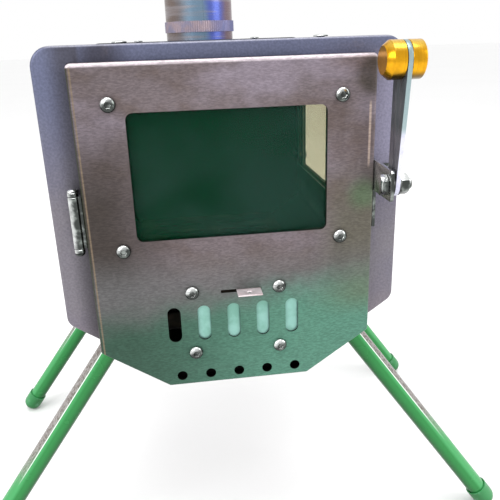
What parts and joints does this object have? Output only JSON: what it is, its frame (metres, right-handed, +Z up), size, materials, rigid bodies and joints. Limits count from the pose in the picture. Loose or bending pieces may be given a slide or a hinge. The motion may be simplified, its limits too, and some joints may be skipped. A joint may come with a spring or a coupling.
{
  "type": "tent wood stove",
  "caption": "Small steel tent stove on splayed legs: a boxy firebox with a chamfered underside, a hinged front door with window, air slots, lever handle and round knob, and a flue pipe.",
  "frame": {"origin": "centre of the footprint, on the floor under the feet", "axes": "+Z up; the door faces -Y; +X is to the right for someone facing the door, on the handle's side"},
  "size_m": [0.5188, 0.4078, 0.7075],
  "materials": {
    "body_steel": "brushed, heat-tinted blue-grey and mauve",
    "door_steel": "brushed and mottled, heat-tinted mauve-brown to green-grey",
    "bright_steel": "polished plated steel",
    "zinc_plate": "pale blue-white zinc plating",
    "damper_steel": "bright sheet",
    "gold_anodised": "gold-orange anodised, turned",
    "pipe_steel": "thin rolled sheet with blue and brown heat tints",
    "leg_tube": "glossy green over steel tube",
    "foot_rubber": "smooth cap",
    "grate_steel": "dark scaled plate",
    "stove_glass": "heat-resistant glass ceramic",
    "gasket_rope": "flat woven glass-fibre tape"
  },
  "bodies": {
    "stove_body": {"body_shell": "body_steel", "flue_collar": "body_steel", "front_panel": "body_steel", "front_panel_screw_1": "bright_steel", "front_panel_screw_2": "bright_steel", "hinge_knuckle_lower": "bright_steel", "hinge_knuckle_upper": "bright_steel", "hinge_pin": "bright_steel", "latch_keeper": "bright_steel", "leg_socket_front_left": "bright_steel", "leg_socket_front_right": "bright_steel", "leg_socket_rear_left": "bright_steel", "leg_socket_rear_right": "bright_steel", "rear_panel": "body_steel", "rear_panel_screw_1": "bright_steel", "rear_panel_screw_2": "bright_steel", "side_window_frame": "body_steel", "side_window_gasket": "gasket_rope", "side_window_glass": "stove_glass", "side_window_screw_1": "bright_steel", "side_window_screw_2": "bright_steel", "side_window_screw_3": "bright_steel", "side_window_screw_4": "bright_steel"},
    "damper": {"damper_plate": "damper_steel"},
    "door": {"damper_screw_1": "bright_steel", "damper_screw_2": "bright_steel", "damper_screw_3": "bright_steel", "damper_screw_4": "bright_steel", "damper_strap_left": "door_steel", "damper_strap_right": "door_steel", "door_glass": "stove_glass", "door_glass_frame": "door_steel", "door_glass_gasket": "gasket_rope", "door_glass_screw_1": "bright_steel", "door_glass_screw_2": "bright_steel", "door_glass_screw_3": "bright_steel", "door_glass_screw_4": "bright_steel", "door_panel": "door_steel", "handle_bolt": "bright_steel", "handle_bracket": "bright_steel", "handle_nut": "bright_steel", "handle_washer_inner": "bright_steel", "handle_washer_outer": "bright_steel", "hinge_door_barrel": "bright_steel"},
    "grate": {"fire_grate": "grate_steel"},
    "flue": {"flue_pipe": "pipe_steel", "pipe_ring": "pipe_steel"},
    "leg_front_left": {"foot_front_left": "foot_rubber", "leg_front_left": "leg_tube"},
    "leg_front_right": {"foot_front_right": "foot_rubber", "leg_front_right": "leg_tube"},
    "leg_rear_left": {"foot_rear_left": "foot_rubber", "leg_rear_left": "leg_tube"},
    "leg_rear_right": {"foot_rear_right": "foot_rubber", "leg_rear_right": "leg_tube"},
    "handle": {"handle_lever": "zinc_plate", "knob_inner": "gold_anodised", "knob_outer": "gold_anodised", "knob_screw": "bright_steel"}
  },
  "joints": [
    {"name": "door_hinge", "type": "hinge", "parent": "stove_body", "child": "door", "pos_m": [-0.1115, -0.1565, 0.338], "axis": [0, 0, -1], "range_deg": [0, 165]},
    {"name": "handle_pivot", "type": "hinge", "parent": "door", "child": "handle", "pos_m": [0.1112, -0.1855, 0.359], "axis": [1, 0, 0], "range_deg": [0, 150]},
    {"name": "damper_slide", "type": "slide", "parent": "door", "child": "damper", "axis": [1, 0, 0], "range_m": [-0.0114, 0]},
    {"name": "grate_lift", "type": "slide", "parent": "stove_body", "child": "grate", "axis": [0, 0, 1], "range_m": [0, 0.06]},
    {"name": "pipe_lift", "type": "slide", "parent": "stove_body", "child": "flue", "axis": [0, 0, 1], "range_m": [0, 0.06]},
    {"name": "leg_front_left_unscrew", "type": "slide", "parent": "stove_body", "child": "leg_front_left", "axis": [-0.5824, -0.0809, -0.8089], "range_m": [0, 0.02]},
    {"name": "leg_front_right_unscrew", "type": "slide", "parent": "stove_body", "child": "leg_front_right", "axis": [0.5824, -0.0809, -0.8089], "range_m": [0, 0.02]},
    {"name": "leg_rear_left_unscrew", "type": "slide", "parent": "stove_body", "child": "leg_rear_left", "axis": [-0.5824, 0.0809, -0.8089], "range_m": [0, 0.02]},
    {"name": "leg_rear_right_unscrew", "type": "slide", "parent": "stove_body", "child": "leg_rear_right", "axis": [0.5824, 0.0809, -0.8089], "range_m": [0, 0.02]}
  ]
}
